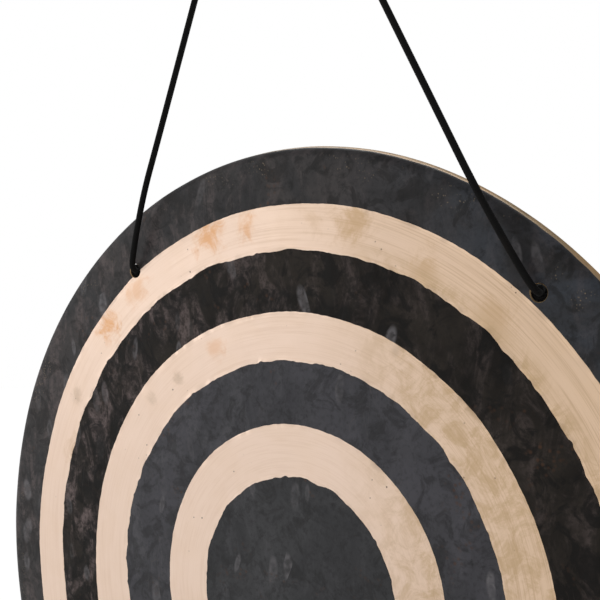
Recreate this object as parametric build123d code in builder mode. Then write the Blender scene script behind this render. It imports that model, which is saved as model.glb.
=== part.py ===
"""Tam tam gong hung by one cord from a swivel ceiling hook.

Frame: millimetres, +Z up, origin in the middle of the hook fitting's upper face, which is
screwed to a beam. The gong hangs below it, its struck face towards -Y.
"""
from build123d import *
import os
from math import acos, atan2, cos, degrees, hypot, pi, radians, sin, tan

# ---- Driving dimensions -------------------------------------------------------------------
# Gong plate
gong_radius = 305.0
gong_centre_z = -599.0
plate_thickness = 1.8
face_y = -1.22  # struck face; puts the plate's centre of mass under the hook, at y = 0
shoulder_radius = 8.0  # rounded edge between the face and the lip
lip_depth = 10.0  # from the struck face to the lip's free edge
lip_flare = 1.0
turned_bands = ((81.5, 118.0), (161.5, 194.5), (236.0, 268.0))  # scraped bright, inner and outer radius
turned_depth = 0.15

# Two holes for the cord, drilled by hand either side of the plate's own top, which hangs
# turned clockwise as seen from the front, so that the right leg of the cord is the longer
hole_radius = 5.25
hole_bevel = 0.4
left_hole_reach = 269.0  # from the gong's centre
right_hole_reach = 276.0
hole_half_angle = 37.6
plate_turn = 6.0

# Cord
cord_diameter = 4.6
cord_gap = 0.3  # between the cord and the hook that it goes over
cord_end_y = -0.4  # the cord's solid ends inside each hole, clear of its knot
# Points of each leg near its hole: height above the hole, distance in front of the face
left_leg_points = ((0.9, 2.0), (4.6, 5.0), (14.0, 6.6), (31.0, 8.6), (60.0, 10.3))
right_leg_points = ((0.9, 2.0), (4.6, 5.2), (14.0, 7.4), (32.0, 9.8), (68.0, 12.3))
hook_corners = 3  # points of the route that take the cord round the hook
arc_share = 0.45  # of the shorter run beside a point, that its arc takes
hook_arc_share = 0.98  # of the round over the hook, so that its three arcs stay apart
knot_radius = 7.2
knot_length = 11.0
knot_gap = 0.3
tail_length = 16.0

# Swivel hook fitting
flange_radius = 25.0
flange_thickness = 3.0
dome_radius = 12.0
dome_depth = 9.0
dome_wall = 2.5
screw_circle_radius = 19.0
screw_hole_radius = 2.1
screw_head_radius = 3.6
screw_count = 3
rod_radius = 3.0
shank_clearance = 0.2
head_radius = 6.5
head_thickness = 2.6
head_chamfer = 0.85
head_clearance = 0.05  # between the hook's head and the washer it turns on
washer_rim = 1.0  # how far the washer reaches past the head
washer_thickness = 1.0
bend_radius = 10.0  # centre line of the hook's bend
bend_centre_z = -26.0
shank_end_z = -13.0
tip_length = 3.0

# ---- Derived places -----------------------------------------------------------------------
cord_radius = cord_diameter / 2
plate_back_y = face_y + plate_thickness
hook_bottom = Vector(0, 0, bend_centre_z - bend_radius)
loop_radius = rod_radius + cord_gap + cord_radius  # centre line of the cord over the hook
gong_centre = Vector(0, 0, gong_centre_z)
gong_axis = Axis(gong_centre, (0, 1, 0))


def hole_place(side, reach):
    """Centre of a cord hole in the plane y = 0; side is -1 for left, +1 for right."""
    angle = radians(side * hole_half_angle + plate_turn)
    return gong_centre + Vector(sin(angle), 0, cos(angle)) * reach


left_hole = hole_place(-1, left_hole_reach)
right_hole = hole_place(1, right_hole_reach)


def over_hook(angle, distance):
    """A point about the middle of the hook's rod, at an angle from straight up towards +X."""
    return hook_bottom + Vector(sin(radians(angle)), 0, cos(radians(angle))) * distance


def leaving_angle(hole):
    """How far from straight up the straight leg to a hole leaves the round over the hook."""
    to_hole = hole - hook_bottom
    spread = degrees(atan2(abs(to_hole.X), -to_hole.Z))
    return 180 - spread - degrees(acos(loop_radius / hypot(to_hole.X, to_hole.Z)))


def leg_route(hole, leg_points, leaving):
    """Hand-chosen points of one leg, from inside its hole up past the rim."""
    points = [Vector(hole.X, cord_end_y, hole.Z)]
    for height, standoff in leg_points:
        share = height / (leaving.Z - hole.Z)
        x = hole.X + (leaving.X - hole.X) * share
        points.append(Vector(x, face_y - standoff, hole.Z + height))
    return points


def largest_arcs(points):
    """The arc at each inner point of a route, as large as its two runs allow."""
    radii = []
    for before, here, after in zip(points, points[1:], points[2:]):
        half_turn = radians((here - before).get_angle(after - here)) / 2
        shorter_run = min((here - before).length, (after - here).length)
        radii.append(arc_share * shorter_run / tan(half_turn))
    return radii


# ---- Gong plate: one forged bronze piece, its edge turned back into a short lip ------------
with BuildPart() as gong_plate:
    with BuildSketch(Plane.XY.offset(gong_centre_z)):
        with BuildLine():
            shoulder_start = gong_radius - shoulder_radius
            inner_shoulder = shoulder_radius - plate_thickness
            lip_end = (gong_radius + lip_flare, face_y + lip_depth)
            front = Line((0, face_y), (shoulder_start, face_y))
            outer_turn = TangentArc(front @ 1, (gong_radius, face_y + shoulder_radius), tangent=front % 1)
            Line(outer_turn @ 1, lip_end)
            Line(lip_end, (lip_end[0] - plate_thickness, lip_end[1]))
            back = Line((shoulder_start, plate_back_y), (0, plate_back_y))
            inner_turn = TangentArc(
                back @ 0, (shoulder_start + inner_shoulder, plate_back_y + inner_shoulder), tangent=(1, 0)
            )
            Line((lip_end[0] - plate_thickness, lip_end[1]), inner_turn @ 1)
            Line(back @ 1, front @ 0)
        make_face()
    revolve(axis=gong_axis)

    face_plane = Plane(origin=gong_centre + Vector(0, face_y, 0), x_dir=(1, 0, 0), z_dir=(0, -1, 0))
    for inner, outer in turned_bands:
        with BuildSketch(face_plane):
            Circle(outer)
            Circle(inner, mode=Mode.SUBTRACT)
        extrude(amount=-turned_depth, mode=Mode.SUBTRACT)

    hole_spots = [face_plane.to_local_coords(hole + Vector(0, face_y, 0)) for hole in (left_hole, right_hole)]
    with Locations(*[face_plane.location * Location((spot.X, spot.Y, 0)) for spot in hole_spots]):
        CounterSinkHole(
            hole_radius, hole_radius + hole_bevel, depth=plate_thickness, counter_sink_angle=90
        )
gong_plate.part.label = "gong_plate"


# ---- Hanging cord: up from the left hole, over the hook, down to the right hole ------------
left_angle = -leaving_angle(left_hole)
right_angle = leaving_angle(right_hole)
corner_turn = (right_angle - left_angle) / hook_corners
corner_distance = loop_radius / cos(radians(corner_turn / 2))
hook_route = [
    over_hook(left_angle + corner_turn * (corner + 0.5), corner_distance) for corner in range(hook_corners)
]
left_route = leg_route(left_hole, left_leg_points, over_hook(left_angle, loop_radius))
right_route = leg_route(right_hole, right_leg_points, over_hook(right_angle, loop_radius))
route = left_route + hook_route + right_route[::-1]
route_radii = largest_arcs(route)
for corner in range(hook_corners):
    route_radii[len(left_route) - 1 + corner] = loop_radius * hook_arc_share

with BuildPart() as hanging_cord:
    with BuildLine() as cord_path:
        FilletPolyline(*route, radius=route_radii)
    with BuildSketch(Plane(origin=route[0], z_dir=route[1] - route[0])):
        Circle(cord_radius)
    sweep(path=cord_path.wires()[0])
hanging_cord.part.label = "hanging_cord"


# ---- Stopper knots behind the plate ---------------------------------------------------------
def stopper_knot(hole):
    """A round knot close behind the plate, its tail hanging down."""
    near_y = plate_back_y + knot_gap
    middle_y = near_y + knot_length / 2
    far_y = near_y + knot_length
    with BuildPart() as knot:
        with BuildSketch(Plane.XY.offset(hole.Z)):
            with BuildLine():
                ThreePointArc((hole.X, near_y), (hole.X + knot_radius, middle_y), (hole.X, far_y))
                Line((hole.X, far_y), (hole.X, near_y))
            make_face()
        revolve(axis=Axis((hole.X, 0, hole.Z), (0, 1, 0)))
        with BuildSketch(Plane(origin=(hole.X, middle_y, hole.Z), z_dir=(0, 0, -1))):
            Circle(cord_radius)
        extrude(amount=tail_length)
    return knot.part


left_knot = stopper_knot(left_hole)
left_knot.label = "left_knot"
right_knot = stopper_knot(right_hole)
right_knot.label = "right_knot"


# ---- Mounting plate: round flange with a hollow dome that the hook's shank turns in ---------
with BuildPart() as mounting_plate:
    with BuildSketch():
        Circle(flange_radius)
    extrude(amount=-flange_thickness)
    with BuildSketch(Plane.XY.offset(-flange_thickness)):
        Circle(dome_radius)
    extrude(amount=flange_thickness - dome_depth)
    dome_edge = mounting_plate.edges().filter_by(GeomType.CIRCLE).group_by(Axis.Z)[0]
    fillet(dome_edge, dome_wall / 2)
    with BuildSketch():
        Circle(dome_radius - dome_wall)
    extrude(amount=dome_wall - dome_depth, mode=Mode.SUBTRACT)
    with BuildSketch():
        Circle(rod_radius + shank_clearance)
    extrude(amount=-dome_depth, mode=Mode.SUBTRACT)
    with Locations(Plane(origin=(0, 0, -flange_thickness), z_dir=(0, 0, -1))):
        with PolarLocations(screw_circle_radius, screw_count):
            CounterSinkHole(screw_hole_radius, screw_head_radius, depth=flange_thickness)
mounting_plate.part.label = "mounting_plate"


# ---- Washer that carries the hook's head inside the dome ------------------------------------
washer_floor_z = dome_wall - dome_depth
with BuildPart() as swivel_washer:
    with BuildSketch(Plane.XY.offset(washer_floor_z)):
        Circle(head_radius + washer_rim)
        Circle(rod_radius + shank_clearance, mode=Mode.SUBTRACT)
    extrude(amount=washer_thickness)
swivel_washer.part.label = "swivel_washer"


# ---- Swivel hook: one bent rod, its riveted head resting on the washer ----------------------
head_floor_z = washer_floor_z + washer_thickness + head_clearance
crank_middle = (bend_radius / 2, (shank_end_z + bend_centre_z) / 2)
tip_z = bend_centre_z + tip_length
with BuildPart() as swivel_hook:
    with BuildLine(Plane.YZ) as rod_path:
        shank = Line((0, head_floor_z), (0, shank_end_z))
        upper_crank = TangentArc(shank @ 1, crank_middle, tangent=shank % 1)
        lower_crank = TangentArc(crank_middle, (bend_radius, bend_centre_z), tangent=upper_crank % 1)
        ThreePointArc(
            (bend_radius, bend_centre_z), (0, bend_centre_z - bend_radius), (-bend_radius, bend_centre_z)
        )
        Line((-bend_radius, bend_centre_z), (-bend_radius, tip_z))
    with BuildSketch(Plane.XY.offset(head_floor_z)):
        Circle(rod_radius)
    sweep(path=rod_path.wires()[0])
    with Locations((0, -bend_radius, tip_z)):
        Sphere(rod_radius)
    with BuildSketch(Plane.XY.offset(head_floor_z)):
        Circle(head_radius)
    extrude(amount=head_thickness)
    head_rim = swivel_hook.edges().filter_by(GeomType.CIRCLE).group_by(Axis.Z)[-1]
    chamfer(head_rim, head_chamfer)
swivel_hook.part.label = "swivel_hook"


# ---- Write the parts ------------------------------------------------------------------------
pieces = [
    gong_plate.part,
    hanging_cord.part,
    left_knot,
    right_knot,
    mounting_plate.part,
    swivel_washer.part,
    swivel_hook.part,
]
os.makedirs("parts", exist_ok=True)
for piece in pieces:
    export_step(piece, f"parts/{piece.label}.step")

cord_length = cord_path.wires()[0].length
cord_volume_share = hanging_cord.part.volume / (cord_length * pi * cord_radius**2)
print("route arcs, mm:", [round(radius, 1) for radius in route_radii])
print("cord length, mm:", round(cord_length, 1), "volume over section times length:", round(cord_volume_share, 4))
print("gong plate centre of mass, mm:", gong_plate.part.center())
for place, point in zip(("left hole", "right hole"), (left_hole, right_hole)):
    print(place, round(point.X, 2), round(point.Z, 2))
print("route, mm:", [tuple(round(value, 1) for value in point) for point in route])
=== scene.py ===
"""Looks of a hammered tam tam gong on its black cord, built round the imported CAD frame.

Units are metres and the frame is the CAD's: +Z up, the struck face towards -Y, the origin at
the hook fitting's upper face.
"""

from math import ceil, cos, hypot, pi, radians, sin

import bmesh
import bpy
import numpy as np
from mathutils import Matrix, Vector, noise


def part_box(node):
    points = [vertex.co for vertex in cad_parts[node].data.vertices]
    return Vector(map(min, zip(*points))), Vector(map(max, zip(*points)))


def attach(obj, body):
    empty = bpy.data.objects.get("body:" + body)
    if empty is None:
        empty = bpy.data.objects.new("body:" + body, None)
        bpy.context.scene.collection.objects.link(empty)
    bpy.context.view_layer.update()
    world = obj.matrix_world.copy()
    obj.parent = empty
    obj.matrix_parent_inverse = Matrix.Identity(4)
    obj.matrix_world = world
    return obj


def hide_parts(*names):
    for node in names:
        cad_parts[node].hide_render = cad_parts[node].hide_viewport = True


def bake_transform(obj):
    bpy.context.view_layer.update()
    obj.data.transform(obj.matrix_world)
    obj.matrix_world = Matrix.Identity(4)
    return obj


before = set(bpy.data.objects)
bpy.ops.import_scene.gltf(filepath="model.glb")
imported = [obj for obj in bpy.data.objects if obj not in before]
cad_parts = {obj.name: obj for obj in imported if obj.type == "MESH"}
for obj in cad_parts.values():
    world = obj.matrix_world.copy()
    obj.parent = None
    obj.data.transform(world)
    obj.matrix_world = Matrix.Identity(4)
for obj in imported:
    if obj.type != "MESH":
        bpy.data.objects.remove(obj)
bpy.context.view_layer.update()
scene = bpy.context.scene
chance = np.random.default_rng(11)

# ---- Places, from the frame -----------------------------------------------------------------
plate_low, plate_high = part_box("gong_plate")
gong_centre = Vector((0, plate_low.y, (plate_low.z + plate_high.z) / 2))
face_y = plate_low.y
lip_end_y = plate_high.y
lip_flare = 0.001
gong_radius = plate_high.x - lip_flare
plate_thickness = 0.0018
plate_back_y = face_y + plate_thickness

# ---- Camera: close in front, from the gong's right, rolled a little --------------------------
# Its place, lens and first two angles are a solver's results, rounded; the roll is a choice
view_azimuth = radians(37.74)
view_elevation = radians(-0.17)
view_roll = radians(2.3)
camera_offset = Vector((1.5659, -1.9565, 0.6537)) * gong_radius

forward = Vector((
    -sin(view_azimuth) * cos(view_elevation),
    cos(view_azimuth) * cos(view_elevation),
    -sin(view_elevation),
))
level_right = forward.cross(Vector((0, 0, 1))).normalized()
level_up = level_right.cross(forward)
camera_right = level_right * cos(view_roll) - level_up * sin(view_roll)
camera_up = level_up * cos(view_roll) + level_right * sin(view_roll)
camera_data = bpy.data.cameras.new("camera")
camera_data.lens = 67.3
camera_data.clip_start = 0.02
camera = bpy.data.objects.new("camera", camera_data)
scene.collection.objects.link(camera)
turn = Matrix((camera_right, camera_up, -forward)).transposed().to_4x4()
camera.matrix_world = Matrix.Translation(gong_centre + camera_offset) @ turn
scene.camera = camera


# ---- Material building ------------------------------------------------------------------------
class Shader:
    """One material's node tree, with a short method for each kind of node that is used."""

    def __init__(self, name):
        self.material = bpy.data.materials.new(name)
        self.material.use_nodes = True
        self.tree = self.material.node_tree
        self.tree.nodes.clear()
        self.surface = self.node("ShaderNodeBsdfPrincipled")
        output = self.node("ShaderNodeOutputMaterial")
        self.tree.links.new(self.surface.outputs[0], output.inputs["Surface"])

    def node(self, kind, inputs=None, **settings):
        made = self.tree.nodes.new(kind)
        for key, value in settings.items():
            setattr(made, key, value)
        for key, value in (inputs or {}).items():
            self.put(made.inputs[key], value)
        return made

    def put(self, socket, value):
        if isinstance(value, bpy.types.NodeSocket):
            self.tree.links.new(value, socket)
        elif socket.type == "RGBA" and len(value) == 3:
            socket.default_value = (*value, 1)
        else:
            socket.default_value = value

    def finish(self, **inputs):
        """Sets the surface's own sockets; the names have _ in place of a space."""
        for key, value in inputs.items():
            self.put(self.surface.inputs[key.replace("_", " ")], value)
        return self.material

    def place(self):
        return self.node("ShaderNodeTexCoord").outputs["Object"]

    def stretch(self, vector, scale):
        return self.node("ShaderNodeVectorMath", {0: vector, 1: scale}, operation="MULTIPLY").outputs[0]

    def math(self, operation, *values, clamp=False):
        made = self.node("ShaderNodeMath", dict(enumerate(values)), operation=operation)
        made.use_clamp = clamp
        return made.outputs[0]

    def noise(self, vector, size, detail=3.0, roughness=0.55, distortion=0.0):
        """Smooth noise whose features are about size metres wide, from 0 to 1."""
        inputs = {"Vector": vector, "Scale": 1 / size, "Detail": detail}
        inputs.update({"Roughness": roughness, "Distortion": distortion})
        return self.node("ShaderNodeTexNoise", inputs).outputs["Fac"]

    def cells(self, vector, size, feature="F1", randomness=1.0):
        inputs = {"Vector": vector, "Scale": 1 / size, "Randomness": randomness}
        return self.node("ShaderNodeTexVoronoi", inputs, feature=feature)

    def steps(self, value, low, high, start=0.0, end=1.0):
        """value from low to high becomes start to end, with nothing past either."""
        inputs = {"Value": value, "From Min": low, "From Max": high, "To Min": start, "To Max": end}
        return self.node("ShaderNodeMapRange", inputs, interpolation_type="SMOOTHSTEP").outputs[0]

    def mix(self, share, first, second, blend="MIX"):
        made = self.node("ShaderNodeMix", data_type="RGBA", blend_type=blend)
        for socket, value in zip((made.inputs[0], made.inputs[6], made.inputs[7]), (share, first, second)):
            self.put(socket, value)
        return made.outputs[2]

    def bump(self, height, distance, strength=1.0, normal=None):
        inputs = {"Height": height, "Distance": distance, "Strength": strength}
        if normal is not None:
            inputs["Normal"] = normal
        return self.node("ShaderNodeBump", inputs).outputs[0]


def polar_places(shader):
    """Object coordinates about the gong's centre, and the distance from it."""
    about = shader.node(
        "ShaderNodeVectorMath", {0: shader.place(), 1: gong_centre}, operation="SUBTRACT"
    ).outputs[0]
    flat = shader.stretch(about, (1, 0, 1))
    radius = shader.node("ShaderNodeVectorMath", {0: flat}, operation="LENGTH").outputs["Value"]
    return about, radius


def along_turn(shader, about, radius, length, width):
    """Noise drawn out round the gong: about length metres along a turn and width across it."""
    outward = shader.node("ShaderNodeVectorMath", {0: about}, operation="NORMALIZE").outputs[0]
    parts = shader.node("ShaderNodeSeparateXYZ", {0: outward})
    turn_scale = gong_radius / length
    inputs = {
        "X": shader.math("MULTIPLY", parts.outputs["X"], turn_scale),
        "Y": shader.math("MULTIPLY", radius, 1 / width),
        "Z": shader.math("MULTIPLY", parts.outputs["Z"], turn_scale),
    }
    drawn = shader.node("ShaderNodeCombineXYZ", inputs).outputs[0]
    return shader.node("ShaderNodeTexNoise", {"Vector": drawn, "Scale": 1.0, "Detail": 3.0}).outputs["Fac"]


def hammer_scuffs_and_glints(shader, about):
    """Oval marks of a hammer's edge, partly real scuffs and partly painted glints on the dents' rims: one
    in about five cells of a loose upright grid, commoner on the lit left, 0 to 1.
    """
    warp = shader.noise(about, 0.12, detail=1)
    parts = shader.node("ShaderNodeSeparateXYZ", {0: about})
    across = shader.math("ADD", parts.outputs["X"], shader.math("MULTIPLY", warp, 0.06))
    grid = shader.node("ShaderNodeCombineXYZ", {
        "X": shader.math("MULTIPLY", across, 1 / 0.012),
        "Y": shader.math("MULTIPLY", parts.outputs["Z"], 1 / 0.030),
    }).outputs[0]
    cell = shader.node(
        "ShaderNodeTexVoronoi", {"Vector": grid, "Scale": 1.0, "Randomness": 0.85}, voronoi_dimensions="2D"
    )
    lot = shader.node("ShaderNodeSeparateColor", {0: cell.outputs["Color"]})
    # painted glints are drawn more often at the left, where the key light falls
    commoner_where_lit = shader.steps(parts.outputs["X"], 0.10, -0.20, 0.12, -0.10)
    drawn = shader.steps(shader.math("SUBTRACT", lot.outputs[0], commoner_where_lit), 0.79, 0.81)
    reach = shader.math("DIVIDE", cell.outputs["Distance"], shader.steps(lot.outputs[2], 0, 1, 0.6, 1.1))
    inside = shader.steps(reach, 0.38, 0.20)
    hollow = shader.steps(reach, 0.05, 0.26, 0.55, 1.0)
    broken = shader.steps(shader.noise(about, 0.006, detail=5, distortion=0.5), 0.36, 0.60, 0.3, 1.0)
    mark = shader.math("MULTIPLY", shader.math("MULTIPLY", inside, hollow), broken)
    return shader.math("MULTIPLY", shader.math("MULTIPLY", mark, drawn), lot.outputs[1])


def forge_scale(name, dark_tone, light_tone, smear_and_light_tone, smear_and_light_strength, burnt, shine, outermost=False):
    """Black oxide left from the forge: mottled, smeared, marked by the hammer, a little rust, with light
    and glints painted on its left side, where the key light falls.

    The smear strength and burnt are how strongly the light smears, partly painted light, and the blacker
    patches show, from 0 to 1, and shine is the strength of the reflection.
    """
    shader = Shader(name)
    place = shader.place()
    about, radius = polar_places(shader)
    across = shader.node("ShaderNodeSeparateXYZ", {0: about}).outputs["X"]
    clouds = shader.noise(place, 0.07, detail=5, roughness=0.6, distortion=0.8)
    mottle = shader.noise(place, 0.022, detail=7, roughness=0.66, distortion=1.1)
    grain = shader.noise(place, 0.0035, detail=5, roughness=0.65)
    if outermost:
        light_tone = shader.mix(shader.steps(across, 0.02, 0.20), light_tone, (0.036, 0.041, 0.050))
    colour = shader.mix(shader.steps(clouds, 0.38, 0.62), dark_tone, light_tone)

    # smears rubbed up and down, with painted light: the lighter tone is laid on thickest at the gong's
    # left, where the key light falls
    rubbed = shader.noise(
        shader.stretch(place, (1.7, 1, 0.8)), 0.032, detail=9, roughness=0.70, distortion=0.9
    )
    lit_left_share = shader.steps(across, 0.10, -0.22, 0.3, 1.15)
    cover = shader.math("MULTIPLY", shader.steps(rubbed, 0.44, 0.66), lit_left_share)
    cover = shader.math("MULTIPLY", cover, shader.steps(grain, 0.62, 0.42, 0.45, 1.0))
    colour = shader.mix(shader.math("MULTIPLY", cover, smear_and_light_strength), colour, smear_and_light_tone)
    patches = shader.steps(mottle, 0.52, 0.40, 0.0, burnt)
    colour = shader.mix(patches, colour, (0.0055, 0.0048, 0.0042))
    colour = shader.mix(shader.steps(grain, 0.45, 0.75, 0.0, 0.4), colour, (0.006, 0.006, 0.006))
    # light grey hammer scuffs, partly painted glints, commoner where the key light falls at the left
    scuffs_and_glints = hammer_scuffs_and_glints(shader, about)
    colour = shader.mix(shader.math("MULTIPLY", scuffs_and_glints, 0.8, clamp=True), colour, (0.16, 0.15, 0.155))

    # thin scratches
    bent = shader.noise(place, 0.05, detail=2)
    lines = shader.cells(shader.stretch(place, (1, 1, 0.13)), 0.006, feature="DISTANCE_TO_EDGE")
    scratch = shader.math(
        "MULTIPLY", shader.steps(lines.outputs["Distance"], 0.02, 0.0), shader.steps(bent, 0.60, 0.68)
    )
    colour = shader.mix(shader.math("MULTIPLY", scratch, 0.35), colour, (0.09, 0.08, 0.075))

    # rust
    speck = shader.cells(place, 0.004)
    rust_area = shader.steps(shader.noise(place, 0.04, detail=3, distortion=1.0), 0.56, 0.72)
    rust = shader.math("MULTIPLY", shader.steps(speck.outputs["Distance"], 0.45, 0.1), rust_area)
    colour = shader.mix(shader.math("MULTIPLY", rust, 0.7), colour, (0.075, 0.036, 0.020))

    # bare bronze specks close to the rim
    if outermost:
        near_rim = shader.math(
            "MULTIPLY", shader.steps(radius, 0.283, 0.290), shader.steps(radius, 0.302, 0.298)
        )
        chipped = shader.steps(shader.noise(place, 0.03, detail=3), 0.50, 0.62)
        chip = shader.cells(place, 0.0021)
        bare = shader.math("MULTIPLY", shader.steps(chip.outputs["Distance"], 0.30, 0.12), near_rim)
        colour = shader.mix(shader.math("MULTIPLY", bare, chipped), colour, (0.15, 0.115, 0.08))

    gloss = shader.steps(clouds, 0.3, 0.7, 0.36, 0.52)
    relief = shader.math(
        "ADD", shader.math("MULTIPLY", grain, 0.25), shader.noise(place, 0.009, detail=3)
    )
    normal = shader.bump(relief, 0.0003)
    normal = shader.bump(scratch, -0.00006, normal=normal)
    return shader.finish(
        Base_Color=colour, Roughness=gloss, Normal=normal, Metallic=0.0, Specular_IOR_Level=shine
    )


# Old stains on the bright bands: place from the gong's centre, half size, strength and tone
orange_stain, brown_stain, grey_stain = (0.70, 0.37, 0.17), (0.56, 0.37, 0.20), (0.55, 0.41, 0.30)
stains = (
    ((-0.064, 0, 0.250), 0.017, 0.85, orange_stain),
    ((-0.030, 0, 0.254), 0.012, 0.65, orange_stain),
    ((-0.172, 0, 0.187), 0.014, 0.95, orange_stain),
    ((-0.140, 0, 0.214), 0.014, 0.45, orange_stain),
    ((0.064, 0, 0.250), 0.020, 0.75, brown_stain),
    ((0.028, 0, 0.252), 0.012, 0.35, brown_stain),
    ((0.115, 0, 0.217), 0.015, 0.60, brown_stain),
    ((0.160, 0, 0.183), 0.018, 0.55, brown_stain),
    ((-0.218, 0, 0.089), 0.013, 0.55, brown_stain),
    ((-0.212, 0, 0.134), 0.009, 0.60, grey_stain),
    ((-0.101, 0, 0.148), 0.006, 0.65, grey_stain),
    ((-0.063, 0, 0.168), 0.010, 0.40, orange_stain),
    ((-0.129, 0, 0.131), 0.007, 0.40, grey_stain),
    ((0.090, 0, 0.166), 0.004, 0.60, grey_stain),
    ((0.205, 0, -0.150), 0.022, 0.65, brown_stain),
    ((-0.150, 0, -0.205), 0.018, 0.60, orange_stain),
    ((0.020, 0, -0.178), 0.012, 0.50, grey_stain),
)


def turned_bronze(name):
    """Bronze scraped bright on a lathe: fine turned lines, pits and old stains."""
    shader = Shader(name)
    place = shader.place()
    about, radius = polar_places(shader)
    flat = shader.stretch(about, (1, 0, 1))
    across = shader.node("ShaderNodeSeparateXYZ", {0: about}).outputs["X"]
    lines = along_turn(shader, about, radius, 0.07, 0.0010)
    broad_lines = along_turn(shader, about, radius, 0.15, 0.0035)
    patches = shader.noise(place, 0.028, detail=4, distortion=0.6)

    # paler and pinker towards the middle and the left, browner at the right with more turned lines: the
    # browner tone is partly painted shade on the side away from the key light
    outward = shader.math(
        "ADD", shader.math("MULTIPLY", across, 0.7), shader.math("MULTIPLY", radius, 0.5)
    )
    right_shade_and_turning = shader.steps(outward, 0.06, 0.30)
    colour = shader.mix(right_shade_and_turning, (0.84, 0.650, 0.525), (0.76, 0.550, 0.375))
    colour = shader.mix(shader.steps(patches, 0.40, 0.62, 0.0, 0.2), colour, (0.78, 0.58, 0.43))
    fine_share = shader.steps(right_shade_and_turning, 0, 1, 0.10, 0.65)
    turned = shader.math("MULTIPLY", shader.steps(lines, 0.46, 0.66), fine_share)
    colour = shader.mix(turned, colour, (0.60, 0.42, 0.27))
    broad_share = shader.steps(right_shade_and_turning, 0, 1, 0.0, 0.4)
    turned = shader.math("MULTIPLY", shader.steps(broad_lines, 0.55, 0.72), broad_share)
    colour = shader.mix(turned, colour, (0.56, 0.39, 0.23))

    uneven = shader.noise(place, 0.016, detail=8, roughness=0.74, distortion=0.6)
    for middle, size, strength, tone in stains:
        away = shader.node(
            "ShaderNodeVectorMath", {0: flat, 1: middle}, operation="DISTANCE"
        ).outputs["Value"]
        ragged = shader.math(
            "ADD", shader.math("DIVIDE", away, size), shader.math("MULTIPLY", uneven, 4.0)
        )
        share = shader.steps(ragged, 3.1, 1.9, 0.0, strength)
        colour = shader.mix(share, colour, tone)

    # tarnish along the outer band's inner edge, at the right
    tarnish = shader.math(
        "MULTIPLY", shader.steps(radius, 0.252, 0.238), shader.steps(across, 0.03, 0.12, 0.0, 0.7)
    )
    tarnish = shader.math("MULTIPLY", tarnish, shader.steps(uneven, 0.40, 0.62, 0.2, 1.0))
    colour = shader.mix(tarnish, colour, (0.50, 0.34, 0.18))

    # pits that the scraper passed over
    pit = shader.cells(place, 0.0075)
    pit_area = shader.steps(shader.noise(place, 0.03, detail=2), 0.52, 0.62)
    pits = shader.math("MULTIPLY", shader.steps(pit.outputs["Distance"], 0.10, 0.05), pit_area)
    colour = shader.mix(shader.math("MULTIPLY", pits, 0.9), colour, (0.08, 0.055, 0.04))
    gloss = shader.steps(lines, 0.3, 0.8, 0.38, 0.50)
    normal = shader.bump(lines, 0.00005)
    normal = shader.bump(shader.noise(place, 0.02, detail=2), 0.00012, normal=normal)
    normal = shader.bump(pits, -0.0002, normal=normal)
    return shader.finish(
        Base_Color=colour, Roughness=gloss, Normal=normal, Metallic=0.8, Anisotropic=0.3
    )


def bare_lip(name):
    """Unscraped golden edge of the plate, tarnished brown, with darker patches."""
    shader = Shader(name)
    place = shader.place()
    clouds = shader.noise(place, 0.03, detail=5, distortion=0.5)
    fine = shader.noise(place, 0.004, detail=4)
    colour = shader.mix(shader.steps(clouds, 0.35, 0.65), (0.48, 0.31, 0.15), (0.36, 0.25, 0.13))
    colour = shader.mix(shader.steps(fine, 0.55, 0.75, 0.0, 0.6), colour, (0.27, 0.16, 0.08))
    dark = shader.steps(shader.noise(place, 0.012, detail=4), 0.62, 0.78, 0.0, 0.8)
    colour = shader.mix(dark, colour, (0.06, 0.045, 0.035))
    normal = shader.bump(fine, 0.0002)
    return shader.finish(Base_Color=colour, Roughness=0.42, Normal=normal, Metallic=0.8)


def braided_cord(name):
    """Black braided polyester: fibres across each strand, a soft sheen."""
    shader = Shader(name)
    along = shader.node("ShaderNodeUVMap", uv_map="round_and_along").outputs[0]
    parts = shader.node("ShaderNodeSeparateXYZ", {0: along})
    round_way = shader.math("MULTIPLY", parts.outputs["X"], float(strands))
    long_way = shader.math("MULTIPLY", parts.outputs["Y"], float(strands))
    fibres = shader.node("ShaderNodeCombineXYZ", {
        "X": shader.math("MULTIPLY", shader.math("ADD", round_way, long_way), 6.0),
        "Y": shader.math("MULTIPLY", shader.math("SUBTRACT", round_way, long_way), 6.0),
    }).outputs[0]
    fuzz = shader.node(
        "ShaderNodeTexNoise", {"Vector": fibres, "Scale": 1.0, "Detail": 3.0}
    ).outputs["Fac"]
    dust = shader.noise(shader.place(), 0.02, detail=3)
    colour = shader.mix(shader.steps(fuzz, 0.35, 0.75), (0.0015, 0.0015, 0.0015), (0.006, 0.0055, 0.005))
    colour = shader.mix(shader.steps(dust, 0.55, 0.8, 0.0, 0.4), colour, (0.012, 0.008, 0.006))
    normal = shader.bump(fuzz, 0.0002, strength=0.7)
    return shader.finish(
        Base_Color=colour, Roughness=0.78, Normal=normal, Specular_IOR_Level=0.12,
        Sheen_Weight=0.03, Sheen_Roughness=0.4,
    )


def metal(name, tone, worn_tone, roughness):
    """A small metal fitting: drawn or plated, with fine scratches and dull patches."""
    shader = Shader(name)
    place = shader.place()
    clouds = shader.noise(place, 0.008, detail=4)
    grain = shader.noise(shader.stretch(place, (1, 1, 0.15)), 0.0006, detail=2)
    colour = shader.mix(shader.steps(clouds, 0.4, 0.7), tone, worn_tone)
    gloss = shader.steps(clouds, 0.3, 0.7, roughness - 0.06, roughness + 0.12)
    normal = shader.bump(grain, 0.00003)
    normal = shader.bump(clouds, 0.00008, normal=normal)
    return shader.finish(Base_Color=colour, Roughness=gloss, Normal=normal, Metallic=1.0)


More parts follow.
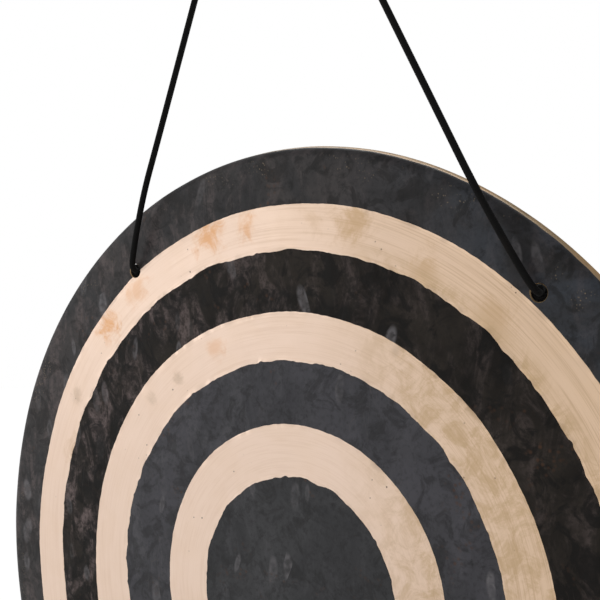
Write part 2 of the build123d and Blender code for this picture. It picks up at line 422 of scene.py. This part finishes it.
# ---- Cord ---------------------------------------------------------------------------------------
cord_diameter = 0.0046
cord_radius = cord_diameter / 2
strands = 8  # each way round the braid
braid_relief = 0.00014
cord_route = (
    # left leg, from inside its hole up past the rim
    (-0.1410, -0.0004, -0.3699),
    (-0.1406, -0.0032, -0.3690),
    (-0.1391, -0.0062, -0.3653),
    (-0.1353, -0.0078, -0.3559),
    (-0.1284, -0.0098, -0.3389),
    (-0.1167, -0.0115, -0.3099),
    (-0.1046, -0.0103, -0.2809),
    (-0.0152, -0.0011, -0.0577),
    # over the hook
    (-0.0044, 0.0000, -0.0318),
    (-0.0003, 0.0000, -0.0300),
    (0.0040, 0.0000, -0.0315),
    # right leg, down to inside its hole
    (0.0166, -0.0011, -0.0565),
    (0.1379, -0.0119, -0.2954),
    (0.1559, -0.0135, -0.3311),
    (0.1741, -0.0110, -0.3671),
    (0.1832, -0.0086, -0.3851),
    (0.1880, -0.0064, -0.3945),
    (0.1899, -0.0032, -0.3982),
    (0.1903, -0.0004, -0.3991),
)
knot_radius = 0.0072


def hole_of(knot_node):
    """Centre of the cord hole that a CAD knot stops, in the plane y = 0."""
    low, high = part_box(knot_node)
    return Vector(((low.x + high.x) / 2, 0, high.z - knot_radius))


left_hole = hole_of("left_knot")
right_hole = hole_of("right_knot")


def spline_points(name, route, spacing):
    """Points a spacing apart along the smooth NURBS line whose control points are the route's."""
    curve = bpy.data.curves.new(name, "CURVE")
    curve.dimensions = "3D"
    curve.resolution_u = 32
    spline = curve.splines.new("NURBS")
    spline.points.add(len(route) - 1)
    for point, place in zip(spline.points, route):
        point.co = (*place, 1)
    spline.order_u = 3
    spline.use_endpoint_u = True
    holder = bpy.data.objects.new(name, curve)
    line = bpy.data.meshes.new_from_object(holder)
    points = np.array([vertex.co for vertex in line.vertices])
    bpy.data.meshes.remove(line)
    bpy.data.objects.remove(holder)
    bpy.data.curves.remove(curve)
    return even_points(points, spacing)


def even_points(points, spacing):
    """The same line with its points a spacing apart."""
    done = np.concatenate([[0], np.cumsum(np.linalg.norm(np.diff(points, axis=0), axis=1))])
    wanted = np.linspace(0, done[-1], max(2, int(ceil(done[-1] / spacing))))
    return np.stack([np.interp(wanted, done, points[:, axis]) for axis in range(3)], axis=1)


def braid_height(turns, distance):
    """How far the braid's surface stands out, from 0 to 1: strands cross over and under."""
    pitch = 2 * pi * cord_radius / strands
    first = turns * strands + distance / pitch
    second = turns * strands - distance / pitch
    first_side = np.where(np.floor(first) % 2 == 0, 1, -1)
    second_side = np.where(np.floor(second) % 2 == 0, 1, -1)
    first_round = np.sqrt(1 - (2 * (first % 1) - 1) ** 2)
    second_round = np.sqrt(1 - (2 * (second % 1) - 1) ** 2)
    over = first_round * (1 + first_side * np.cos(pi * (second - 0.5))) / 2
    under = second_round * (1 - second_side * np.cos(pi * (first - 0.5))) / 2
    return np.maximum(over, under)


def braided_tube(name, path, material, swell=None, around=32):
    """A closed tube with a diamond braid's relief, along a path of evenly spaced points.

    swell is the tube's thickness at each point, as a share of the cord's.
    """
    if swell is None:
        swell = np.ones(len(path))
    tangents = np.gradient(path, axis=0)
    tangents /= np.linalg.norm(tangents, axis=1)[:, None]
    side = np.cross(tangents[0], (0.3, 1.0, 0.2))
    done = np.concatenate([[0], np.cumsum(np.linalg.norm(np.diff(path, axis=0), axis=1))])
    turns = np.arange(around) / around
    rings = []
    for tangent, middle, distance, share in zip(tangents, path, done, swell):
        side = side - tangent * (side @ tangent)
        side /= np.linalg.norm(side)
        other = np.cross(tangent, side)
        out = (cord_radius - braid_relief * (1 - braid_height(turns, distance))) * share
        angle = 2 * pi * turns
        outward = np.cos(angle)[:, None] * side + np.sin(angle)[:, None] * other
        rings.append(middle + out[:, None] * outward)
    count = len(rings)
    faces = []
    for ring in range(count - 1):
        for k in range(around):
            after = (k + 1) % around
            faces.append((ring * around + k, ring * around + after,
                          (ring + 1) * around + after, (ring + 1) * around + k))
    faces.append(tuple(range(around))[::-1])
    faces.append(tuple(range((count - 1) * around, count * around)))
    mesh = bpy.data.meshes.new(name)
    mesh.from_pydata(np.concatenate(rings).tolist(), [], faces)
    layer = mesh.uv_layers.new(name="round_and_along")
    places = np.zeros((len(mesh.loops), 2))
    for ring in range(count - 1):
        lower, upper = done[ring] / (2 * pi * cord_radius), done[ring + 1] / (2 * pi * cord_radius)
        start = ring * around * 4
        block = places[start:start + around * 4].reshape(around, 4, 2)
        block[:, (0, 3), 0] = turns[:, None]
        block[:, (1, 2), 0] = turns[:, None] + 1 / around
        block[:, (0, 1), 1] = lower
        block[:, (2, 3), 1] = upper
    layer.data.foreach_set("uv", places.ravel())
    mesh.shade_smooth()
    mesh.materials.append(material)
    mesh.validate()
    made = bpy.data.objects.new(name, mesh)
    scene.collection.objects.link(made)
    return made


cord_material = braided_cord("black_braid")
cord_points = spline_points("cord_line", cord_route, 0.00045)
cord = braided_tube("cord", cord_points, cord_material)


# ---- Stopper knots -----------------------------------------------------------------------------
def evenly_apart(points, spacing):
    """Moves neighbours along their own line until they are a spacing apart; the ends stay."""
    ends = points[0].copy(), points[-1].copy()
    for start in (0, 1):
        stop = start + (len(points) - start) // 2 * 2
        first, second = points[start:stop:2], points[start + 1:stop:2]
        gap = second - first
        shift = gap * (1 - spacing / np.linalg.norm(gap, axis=1)[:, None]) / 2
        first += shift
        second -= shift
    points[0], points[-1] = ends


knot_steps = 1300
pull_share = 0.998  # of its length that the knot keeps at a step that shortens it


def tight_knot():
    """Centre line of an overhand knot, pulled tight by shortening it between fixed ends.

    Its standing part comes from -Y and its tail hangs down.
    """
    t = np.linspace(-1.95, 1.95, 300)
    loop = np.stack([t ** 3 - 3 * t, 0.32 * (t ** 5 - 10 * t), t ** 4 - 4 * t ** 2 + 2.0], axis=1)
    points = np.concatenate([[(0, -0.034, 0)], loop * 0.0045, [(0, 0.012, -0.034)]])
    points = even_points(points, cord_diameter / 3)
    spacing = np.linalg.norm(np.diff(points, axis=0), axis=1).mean()
    apart = cord_diameter * 0.96
    for _ in range(knot_steps):
        if np.linalg.norm(np.diff(points, axis=0), axis=1).max() < spacing * 1.16:
            spacing *= pull_share
        inner = points[1:-1]
        inner += 0.015 * ((points[:-2] + points[2:]) / 2 - inner)
        for _ in range(8):
            evenly_apart(points, spacing)
        first, second = np.triu_indices(len(points), int(1.45 * cord_diameter / spacing))
        gap = points[second] - points[first]
        length = np.linalg.norm(gap, axis=1)
        close = length < apart
        push = gap[close] * ((apart / length[close] - 1) / 4)[:, None]
        np.add.at(points, second[close], push)
        np.add.at(points, first[close], -push)
    return points


knot_swell = 1.2  # the braid is squeezed wider where the knot grips it
knot_line = tight_knot() * knot_swell
knot_spacing = 0.0005
knot_start = 0.0004  # in front of the plane y = 0, where the cord's own tube ends
knot_bulge = 0.0014  # how far the pulled knot stands into its hole


def stopper_line(hole, turned, aside):
    """The tight knot close behind the plate, its standing part running back into the hole.

    It is turned about that standing part, and moved aside behind the plate to cover more of the
    hole. Some of the hole stays open and lets a little light past.
    """
    line = knot_line
    reach = np.hypot(line[:, 0] - line[0, 0], line[:, 2] - line[0, 2])
    body = line[(reach > cord_radius) & (line[:, 2] > -0.017)]
    behind = plate_back_y + cord_radius * knot_swell - knot_bulge
    line = line + (0, behind - body[:, 1].min(), 0)
    line = line[(line[:, 1] > -knot_start) | (np.arange(len(line)) > len(line) / 2)]
    line = line[line[:, 2] > -0.028]
    across, up = line[:, 0] - line[0, 0], line[:, 2] - line[0, 2]
    turned_across = across * cos(turned) - up * sin(turned)
    turned_up = across * sin(turned) + up * cos(turned)
    line = np.stack([turned_across, line[:, 1], turned_up], axis=1)
    share = np.clip(line[:, 1] / 0.003, 0, 1)[:, None]
    line = line + np.array(aside) * share * share * (3 - 2 * share)
    return even_points(line + (hole.x, 0, hole.z), knot_spacing)


# ---- Gong plate ---------------------------------------------------------------------------------
# Bright bands from the middle outwards: inner edge, outer edge, each a radius and how far its
# centre lies off the gong's to the right and up. They come from a fit to the rings: the fourth and
# fifth edges as fitted, the sixth but for one offset, and the others adjusted
turned_bands = (
    ((0.0820, 0.0012, -0.0004), (0.1182, 0.0012, -0.0006)),
    ((0.1628, -0.0004, -0.0018), (0.1961, -0.0019, -0.0019)),
    ((0.2364, -0.0011, -0.0002), (0.2681, 0.0020, -0.0011)),
)
turned_depth = 0.00003
shoulder_radius = 0.008
scale_end_turn = radians(71)  # how far round the shoulder the black scale goes
rim_points = 1280
ring_spacing = 0.0036
back_share = 4  # the back has this many times fewer points
blow_spacing = 0.0135


def round_noise(angles, radius, feature, seed):
    """Smooth noise from about -1 to 1 round a circle, its features about that long."""
    reach = radius / feature
    return np.array([noise.noise(Vector((cos(a) * reach, sin(a) * reach, seed))) for a in angles])


def border(edge, inner_edge, seed):
    """A band's edge all the way round: the inner edges are torn, the outer ones nearly smooth."""
    radius, right, up = edge
    angles = 2 * pi * np.arange(rim_points) / rim_points
    drift = right * np.sin(angles) + up * np.cos(angles)
    wobble = 0.0009 * round_noise(angles, radius, 0.06, seed)
    fine = 0.0003 * round_noise(angles, radius, 0.0045, seed + 9)
    if inner_edge:
        lobes = 0.0026 * np.abs(round_noise(angles, radius, 0.024, seed + 5)) - 0.0007
        torn = 0.0022 * np.clip(round_noise(angles, radius, 0.006, seed + 7) - 0.2, 0, 1)
        return radius + drift + wobble + lobes + torn + fine
    return radius + drift + wobble + fine


def points_round(radius):
    """How many points a ring has: half as many each time that the radius is halved."""
    share = 1
    while radius * 2 * share < gong_radius and share < 16:
        share *= 2
    return rim_points // share


def hammer_blows():
    """Centre, direction, half sizes and depth of each hammer blow, laid round the plate in rings."""
    blows = []
    ring = 0.012
    while ring < gong_radius - 0.012:
        count = int(2 * pi * ring / blow_spacing)
        for k in range(count):
            angle = 2 * pi * (k + chance.uniform(-0.4, 0.4)) / count
            reach = ring + chance.uniform(-0.004, 0.004)
            size = chance.uniform(0.0065, 0.0125)
            depth = chance.uniform(0.00006, 0.00030)
            blows.append((reach * cos(angle), reach * sin(angle), chance.uniform(0, pi), size,
                          size * chance.uniform(0.55, 0.9), depth))
        ring += blow_spacing * chance.uniform(0.85, 1.1)
    return blows


def hammered(x, z, blows):
    """Depth of the hammer blows at each place, in metres."""
    depth = np.zeros(len(x))
    order = np.argsort(x)
    sorted_x = x[order]
    for across, up, heading, length, width, deep in blows:
        start, end = np.searchsorted(sorted_x, (across - length * 1.3, across + length * 1.3))
        near = order[start:end]
        dx, dz = x[near] - across, z[near] - up
        along = (dx * cos(heading) + dz * sin(heading)) / length
        beside = (dz * cos(heading) - dx * sin(heading)) / width
        out = along ** 2 + beside ** 2
        bowl = np.where(out < 1, (1 - out) ** 2, 0)
        raised = np.exp(-((np.sqrt(out) - 1.05) / 0.16) ** 2) * 0.16
        depth[near] += deep * (bowl - raised)
    return depth


def sway(x, z):
    """Slow unevenness of the whole plate, in metres."""
    height = np.zeros(len(x))
    waves = np.random.default_rng(5)
    for _ in range(26):
        heading, length = waves.uniform(0, 2 * pi), waves.uniform(0.05, 0.15)
        phase = waves.uniform(0, 2 * pi)
        height += np.cos(2 * pi * (x * cos(heading) + z * sin(heading)) / length + phase) * length
    return height / 26 * 0.012


def flattening(x, z):
    """Share of its distance from the middle that each place keeps: the rim is flatter at the left."""
    radius, angle = np.hypot(x, z), np.arctan2(x, z)
    near_rim = np.clip((radius - 0.272) / 0.028, 0, 1)
    away = np.angle(np.exp(1j * (angle + radians(97))))
    return 1 - 0.0034 / gong_radius * near_rim * np.exp(-(away / radians(26)) ** 2)


class Plate:
    """Rings of points from the face's middle, round the lip and back to the middle behind."""

    def __init__(self):
        self.points, self.hammer, self.sway, self.faces, self.finishes = [], [], [], [], []
        self.rings = []
        self.back = False

    def ring(self, radii, y, hammer, sway_share):
        """A ring of points at those radii, given for every point of the rim."""
        count = points_round(float(np.mean(radii)))
        if self.back:
            count //= back_share
        step = rim_points // count
        angles = 2 * pi * np.arange(count) / count
        kept = radii[::step]
        start = len(self.points)
        depth = np.broadcast_to(y, rim_points)[::step]
        self.points += list(zip(kept * np.sin(angles), depth, kept * np.cos(angles)))
        self.hammer += [hammer] * count
        self.sway += [sway_share] * count
        self.rings.append((start, count))

    def join(self, finish):
        """Faces between the last two rings, which may have different numbers of points."""
        (a, a_count), (b, b_count) = self.rings[-2:]
        few, many = (a, b) if a_count <= b_count else (b, a)
        few_count, many_count = min(a_count, b_count), max(a_count, b_count)
        ratio = many_count // few_count
        for k in range(few_count):
            outer = [many + (k * ratio + j) % many_count for j in range(ratio, -1, -1)]
            self.faces.append((few + k, few + (k + 1) % few_count, *outer))
        self.finishes += [finish] * few_count


def even(radius):
    """The same radius at every point of the rim."""
    return np.full(rim_points, radius)


# Finishes of the plate's faces, numbered in the order of gong_materials
dark_finishes = (0, 1, 2, 3)  # black scale, from the middle outwards
bright_finish, bare_finish, behind_finish = 4, 5, 6


def gong_mesh(materials):
    """The whole plate as one closed mesh, with a finish for each face."""
    plate = Plate()
    edges = []
    for number, (inner, outer) in enumerate(turned_bands):
        edges += [border(inner, True, 20.0 + number), border(outer, False, 40.0 + number)]
    shoulder_start = even(gong_radius - shoulder_radius)
    stations = [even(0.003), *edges, shoulder_start]
    half_step = 0.0001
    for zone in range(len(stations) - 1):
        is_bright = zone % 2 == 1
        y = face_y + (turned_depth if is_bright else 0)
        inner, outer = stations[zone] + half_step, stations[zone + 1] - half_step
        count = max(2, round(float(np.mean(outer - inner)) / ring_spacing))
        for k in range(count + 1):
            share = k / count
            plate.ring(inner + (outer - inner) * share, y, 0.14 if is_bright else 1.0, 1.0)
            if len(plate.rings) > 1:
                plate.join(bright_finish if is_bright or k == 0 else dark_finishes[zone // 2])

    # shoulder: the scale wears through to bare bronze part of the way round it
    angles = 2 * pi * np.arange(rim_points) / rim_points
    worn = scale_end_turn + 0.10 * round_noise(angles, gong_radius, 0.03, 71.0)
    worn += 0.06 * round_noise(angles, gong_radius, 0.008, 72.0)
    rim_shift = 0.0004 * round_noise(angles, gong_radius, 0.06, 73.0)
    for share in (0.2, 0.4, 0.6, 0.8, 1.0, 1.0001):
        turn_here = worn * min(share, 1)
        radii = gong_radius - shoulder_radius * (1 - np.sin(turn_here)) + rim_shift * share
        y = face_y + shoulder_radius * (1 - np.cos(turn_here)) + (0.00008 if share > 1 else 0)
        plate.ring(radii, y, 1 - 0.8 * min(share, 1), 1 - 0.5 * min(share, 1))
        plate.join(bare_finish if share > 1 else dark_finishes[3])
    for share in (0.5, 1.0):
        turn_here = worn + (pi / 2 - worn) * share
        radii = gong_radius - shoulder_radius * (1 - np.sin(turn_here)) + rim_shift
        plate.ring(radii, face_y + shoulder_radius * (1 - np.cos(turn_here)), 0.1, 0.5)
        plate.join(bare_finish)
    ragged = 0.00035 * round_noise(angles, gong_radius, 0.02, 74.0)
    rounded = 0.0003
    plate.ring(even(gong_radius + lip_flare * 0.8) + rim_shift, lip_end_y - rounded + ragged, 0, 0.5)
    plate.join(bare_finish)
    plate.ring(even(gong_radius + lip_flare - rounded) + rim_shift, lip_end_y + ragged, 0, 0.5)
    plate.join(bare_finish)
    inner_lip = gong_radius + lip_flare - plate_thickness
    plate.ring(even(inner_lip + rounded) + rim_shift, lip_end_y + ragged, 0, 0.5)
    plate.join(bare_finish)
    plate.back = True
    plate.ring(even(inner_lip) + rim_shift, lip_end_y - rounded, 0, 0.5)
    plate.join(bare_finish)
    inner_shoulder = shoulder_radius - plate_thickness
    for turn_here in (pi / 2, radians(60), radians(30), 0):
        radii = even(gong_radius - shoulder_radius + inner_shoulder * sin(turn_here))
        y = plate_back_y + inner_shoulder * (1 - cos(turn_here))
        plate.ring(radii, y, 0.3, 1 - 0.5 * sin(turn_here))
        plate.join(behind_finish)
    flat_radius = gong_radius - shoulder_radius
    back_rings = int(flat_radius / (2 * ring_spacing))
    for k in range(back_rings - 1, 0, -1):
        plate.ring(even(flat_radius * k / back_rings), plate_back_y, 1.0, 1.0)
        plate.join(behind_finish)
    start, count = plate.rings[0]
    plate.faces.append(tuple(range(start, start + count)))
    start, count = plate.rings[-1]
    plate.faces.append(tuple(range(start, start + count)))
    plate.finishes += [dark_finishes[0], behind_finish]

    points = np.array(plate.points)
    inward = flattening(points[:, 0], points[:, 2])
    points[:, 0] *= inward
    points[:, 2] *= inward
    depth = hammered(points[:, 0], points[:, 2], hammer_blows()) * np.array(plate.hammer)
    depth += sway(points[:, 0], points[:, 2]) * np.array(plate.sway)
    points[:, 1] += depth
    points[:, 0] += gong_centre.x
    points[:, 2] += gong_centre.z
    mesh = bpy.data.meshes.new("gong_plate_hammered")
    mesh.from_pydata(points.tolist(), [], plate.faces)
    for material in materials:
        mesh.materials.append(material)
    mesh.polygons.foreach_set("material_index", np.array(plate.finishes, np.int32))
    edit = bmesh.new()
    edit.from_mesh(mesh)
    bmesh.ops.recalc_face_normals(edit, faces=edit.faces)
    edit.to_mesh(mesh)
    edit.free()
    return mesh


hole_radius = 0.00525
hole_bevel = 0.0003


def hole_cutter(hole, materials, bevel_finish, wall_finish):
    """A bevelled round cutter for one cord hole."""
    sides = 64
    profile = (
        (face_y - 0.002, hole_radius + hole_bevel + 0.002),
        (face_y + hole_bevel, hole_radius),
        (plate_back_y - hole_bevel, hole_radius),
        (plate_back_y + 0.002, hole_radius + hole_bevel + 0.002),
    )
    edit = bmesh.new()
    turns = [2 * pi * k / sides for k in range(sides)]
    rings = []
    for y, radius in profile:
        rings.append([
            edit.verts.new((hole.x + radius * cos(angle), y, hole.z + radius * sin(angle)))
            for angle in turns
        ])
    for one, other in zip(rings, rings[1:]):
        for k in range(sides):
            edit.faces.new((one[k], one[(k + 1) % sides], other[(k + 1) % sides], other[k]))
    edit.faces.new(rings[0])
    edit.faces.new(rings[-1])
    bmesh.ops.recalc_face_normals(edit, faces=edit.faces)
    for face in edit.faces:
        middle = face.calc_center_median()
        face.material_index = bevel_finish if middle.y < face_y + hole_bevel else wall_finish
    mesh = bpy.data.meshes.new("hole_cutter")
    edit.to_mesh(mesh)
    edit.free()
    for material in materials:
        mesh.materials.append(material)
    cutter = bpy.data.objects.new("hole_cutter", mesh)
    scene.collection.objects.link(cutter)
    return cutter


# tones of the smears, which also paint the key light's brightening on the scale's left
warm_smear_and_light, cool_smear_and_light = (0.155, 0.118, 0.112), (0.095, 0.092, 0.098)
gong_materials = [
    forge_scale("scale_core", (0.030, 0.030, 0.032), (0.046, 0.046, 0.048), cool_smear_and_light, 0.5, 0.4, 0.2),
    forge_scale("scale_inner", (0.040, 0.039, 0.044), (0.062, 0.060, 0.068), cool_smear_and_light, 0.6, 0.45, 0.2),
    forge_scale("scale_middle", (0.009, 0.007, 0.0055), (0.024, 0.019, 0.015), warm_smear_and_light, 0.9, 0.8, 0.1),
    forge_scale(
        "scale_outer", (0.022, 0.021, 0.022), (0.044, 0.039, 0.038), warm_smear_and_light, 0.45, 0.6, 0.18,
        outermost=True,
    ),
    turned_bronze("turned_bronze"),
    bare_lip("bare_lip"),
    forge_scale("scale_back", (0.016, 0.015, 0.014), (0.034, 0.027, 0.021), warm_smear_and_light, 0.5, 0.5, 0.2),
]
plate_mesh = gong_mesh(gong_materials)
gong_plate = bpy.data.objects.new("hammered_plate", plate_mesh)
scene.collection.objects.link(gong_plate)
cutters = [
    hole_cutter(hole, gong_materials, bare_finish, dark_finishes[2]) for hole in (left_hole, right_hole)
]
for cutter in cutters:
    cut = gong_plate.modifiers.new("hole", "BOOLEAN")
    cut.operation = "DIFFERENCE"
    cut.solver = "EXACT"
    cut.object = cutter
bpy.context.view_layer.update()
cut_mesh = bpy.data.meshes.new_from_object(gong_plate.evaluated_get(bpy.context.evaluated_depsgraph_get()))
gong_plate.modifiers.clear()
gong_plate.data = cut_mesh
for cutter in cutters:
    bpy.data.objects.remove(cutter)
cut_mesh.shade_smooth()
cut_mesh.set_sharp_from_angle(angle=radians(32))

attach(gong_plate, "gong")
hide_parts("gong_plate")


def press_flat(mesh, hole):
    """Flattens a knot where it meets the plate's back, all round its hole."""
    for vertex in mesh.vertices:
        if hypot(vertex.co.x - hole.x, vertex.co.z - hole.z) > hole_radius - 0.0002:
            vertex.co.y = max(vertex.co.y, plate_back_y + 0.0001)


def stopper_knot(name, hole, node, turned, aside):
    """A stopper knot: the cord's own thickness at both ends, wider where the knot grips it."""
    line = stopper_line(hole, turned, aside)
    along = np.arange(len(line)) * knot_spacing
    share = np.clip(np.minimum(along / 0.003, (along[-1] - along) / 0.010), 0, 1)
    swell = 1 + (knot_swell - 1) * share * share * (3 - 2 * share)
    made = braided_tube(name, line, cord_material, swell)
    press_flat(made.data, hole)
    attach(made, "gong")
    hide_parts(node)
    return made


# Turns and shifts from a search for what leaves least of each hole open, adjusted
left_knot = stopper_knot(
    "left_stopper_knot", left_hole, "left_knot", turned=radians(-8), aside=(-0.0022, 0, 0.003)
)
right_knot = stopper_knot(
    "right_stopper_knot", right_hole, "right_knot", turned=radians(-12), aside=(-0.001, 0, 0.003)
)

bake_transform(cord)
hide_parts("hanging_cord")

# ---- Hook fitting -------------------------------------------------------------------------------
steel = metal("zinc_steel", (0.56, 0.57, 0.58), (0.40, 0.41, 0.43), 0.30)
brass = metal("washer_brass", (0.72, 0.53, 0.24), (0.50, 0.36, 0.16), 0.28)
for node, material in (("mounting_plate", steel), ("swivel_hook", steel), ("swivel_washer", brass)):
    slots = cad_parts[node].data.materials
    slots.clear()
    slots.append(material)

# ---- Stage: pale floor, white room, soft lights ---------------------------------------------------
floor_z = plate_low.z - 0.12
floor_radius = 9.0
edit = bmesh.new()
bmesh.ops.create_circle(edit, cap_ends=True, segments=96, radius=floor_radius)
floor_mesh = bpy.data.meshes.new("floor")
edit.to_mesh(floor_mesh)
edit.free()
floor = bpy.data.objects.new("floor", floor_mesh)
floor.location = (0, 0, floor_z)
scene.collection.objects.link(floor)
floor_shader = Shader("pale_floor")
floor_place = floor_shader.place()
floor_reach = floor_shader.node(
    "ShaderNodeVectorMath", {0: floor_place}, operation="LENGTH"
).outputs["Value"]
floor_speckle = floor_shader.noise(floor_place, 0.3, detail=4)
floor_colour = floor_shader.mix(floor_speckle, (0.88, 0.88, 0.87), (0.92, 0.92, 0.91))
far_glow = floor_shader.steps(floor_reach, 0.5, 1.5)
floor_mesh.materials.append(floor_shader.finish(
    Base_Color=floor_shader.mix(far_glow, floor_colour, (0, 0, 0)), Roughness=0.7,
    Emission_Color=(1, 1, 1), Emission_Strength=far_glow, Specular_IOR_Level=0.2,
))


def soft_light(name, place, target, size, power):
    """A large square light that faces its target."""
    data = bpy.data.lights.new(name, "AREA")
    data.size = size
    data.energy = power
    light = bpy.data.objects.new(name, data)
    light.location = place
    light.rotation_mode = "QUATERNION"
    light.rotation_quaternion = (Vector(target) - Vector(place)).to_track_quat("-Z", "Y")
    scene.collection.objects.link(light)


soft_light("key", (-2.1, -1.5, 0.3), gong_centre, 1.8, 14)
soft_light("fill", (1.6, -2.2, 0.3), gong_centre, 1.6, 5)
soft_light("back", (-0.8, 2.0, 0.8), gong_centre, 1.6, 12)

world = bpy.data.worlds.new("white_room")
world.use_nodes = True
scene.world = world
nodes, links = world.node_tree.nodes, world.node_tree.links
nodes.clear()
shown = nodes.new("ShaderNodeBackground")
shown.inputs["Color"].default_value = (1, 1, 1, 1)
lit = nodes.new("ShaderNodeBackground")
lit.inputs["Color"].default_value = (0.46, 0.46, 0.47, 1)
seen_first = nodes.new("ShaderNodeLightPath").outputs["Is Camera Ray"]
either = nodes.new("ShaderNodeMixShader")
world_output = nodes.new("ShaderNodeOutputWorld")
links.new(seen_first, either.inputs[0])
links.new(lit.outputs[0], either.inputs[1])
links.new(shown.outputs[0], either.inputs[2])
links.new(either.outputs[0], world_output.inputs["Surface"])
scene.view_settings.view_transform = "Standard"
